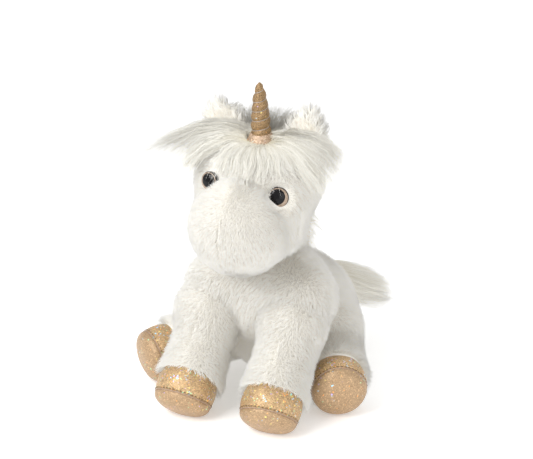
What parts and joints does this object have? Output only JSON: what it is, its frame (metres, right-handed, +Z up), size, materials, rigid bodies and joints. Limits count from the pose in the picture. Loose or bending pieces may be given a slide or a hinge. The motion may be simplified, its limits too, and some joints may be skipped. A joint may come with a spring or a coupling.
{
  "type": "plush unicorn",
  "caption": "Sitting stuffed toy unicorn with white pile cover, glitter cloth hooves and wound horn, long hair and a brush tail; head, legs, ears and tail move.",
  "frame": {"origin": "middle of the flat seat under the rump", "axes": "+Z up, the unicorn faces -Y, its left side is +X"},
  "size_m": [0.1816, 0.2203, 0.2349],
  "materials": {
    "pile_cloth": "matte",
    "long_hair": "matte",
    "ear_lining": "matte",
    "fibre_fill": "matte",
    "pellet_bag": "matte",
    "gold_cloth": "satin",
    "gold_sole": "satin",
    "horn_thread": "satin",
    "eye": "gloss",
    "eye_iris": "gloss",
    "eye_washer": "matte"
  },
  "bodies": {
    "torso": {"torso_cover": "pile_cloth", "torso_stuffing": "fibre_fill", "seat_pellet_bag": "pellet_bag"},
    "neck": {"neck_cover": "pile_cloth", "neck_stuffing": "fibre_fill"},
    "head": {"head_cover": "pile_cloth", "head_stuffing": "fibre_fill", "right_eye": "eye", "right_eye_iris": "eye_iris", "right_eye_washer": "eye_washer", "left_eye": "eye", "left_eye_iris": "eye_iris", "left_eye_washer": "eye_washer", "horn_cover": "gold_cloth", "horn_stuffing": "fibre_fill", "horn_thread": "horn_thread", "horn_collar": "gold_sole", "forelock": "long_hair", "mane": "long_hair"},
    "right_ear": {"right_ear_back": "pile_cloth", "right_ear_lining": "ear_lining"},
    "left_ear": {"left_ear_back": "pile_cloth", "left_ear_lining": "ear_lining"},
    "tail": {"tail_core": "pile_cloth", "tail_hair": "long_hair"},
    "front_right_leg": {"front_right_leg_cover": "pile_cloth", "front_right_leg_stuffing": "fibre_fill", "front_right_hoof_upper": "gold_cloth", "front_right_hoof_sole": "gold_sole"},
    "front_left_leg": {"front_left_leg_cover": "pile_cloth", "front_left_leg_stuffing": "fibre_fill", "front_left_hoof_upper": "gold_cloth", "front_left_hoof_sole": "gold_sole"},
    "hind_right_leg": {"hind_right_leg_cover": "pile_cloth", "hind_right_leg_stuffing": "fibre_fill", "hind_right_hoof_upper": "gold_cloth", "hind_right_hoof_sole": "gold_sole"},
    "hind_left_leg": {"hind_left_leg_cover": "pile_cloth", "hind_left_leg_stuffing": "fibre_fill", "hind_left_hoof_upper": "gold_cloth", "hind_left_hoof_sole": "gold_sole"}
  },
  "joints": [
    {"name": "neck_turn", "type": "hinge", "parent": "torso", "child": "neck", "pos_m": [0, -0.036, 0.104], "axis": [0, 0, 1], "range_deg": [-20, 20], "stiffness_Nm_per_rad": 0.3},
    {"name": "neck_nod", "type": "hinge", "parent": "neck", "child": "head", "pos_m": [0, -0.036, 0.124], "axis": [1, 0, 0], "range_deg": [-10, 10], "stiffness_Nm_per_rad": 0.8, "springref_deg": -0.86},
    {"name": "front_right_leg_lift", "type": "hinge", "parent": "torso", "child": "front_right_leg", "pos_m": [-0.03, -0.056, 0.076], "axis": [-1, 0, 0], "range_deg": [0, 28], "stiffness_Nm_per_rad": 0.15},
    {"name": "front_left_leg_lift", "type": "hinge", "parent": "torso", "child": "front_left_leg", "pos_m": [0.03, -0.056, 0.076], "axis": [-1, 0, 0], "range_deg": [0, 28], "stiffness_Nm_per_rad": 0.15},
    {"name": "hind_right_leg_spread", "type": "hinge", "parent": "torso", "child": "hind_right_leg", "pos_m": [-0.034, -0.008, 0.034], "axis": [0, 0, -1], "range_deg": [0, 20], "stiffness_Nm_per_rad": 0.15},
    {"name": "hind_left_leg_spread", "type": "hinge", "parent": "torso", "child": "hind_left_leg", "pos_m": [0.034, -0.008, 0.034], "axis": [0, 0, 1], "range_deg": [0, 20], "stiffness_Nm_per_rad": 0.15},
    {"name": "tail_swing", "type": "hinge", "parent": "torso", "child": "tail", "pos_m": [0.004, 0.05, 0.058], "axis": [0, 0, 1], "range_deg": [-8, 70], "stiffness_Nm_per_rad": 0.02},
    {"name": "right_ear_fold", "type": "hinge", "parent": "head", "child": "right_ear", "pos_m": [-0.0255, -0.043, 0.1785], "axis": [1, 0, 0], "range_deg": [-15, 15], "stiffness_Nm_per_rad": 0.02},
    {"name": "left_ear_fold", "type": "hinge", "parent": "head", "child": "left_ear", "pos_m": [0.0255, -0.043, 0.1785], "axis": [1, 0, 0], "range_deg": [-15, 15], "stiffness_Nm_per_rad": 0.02}
  ]
}
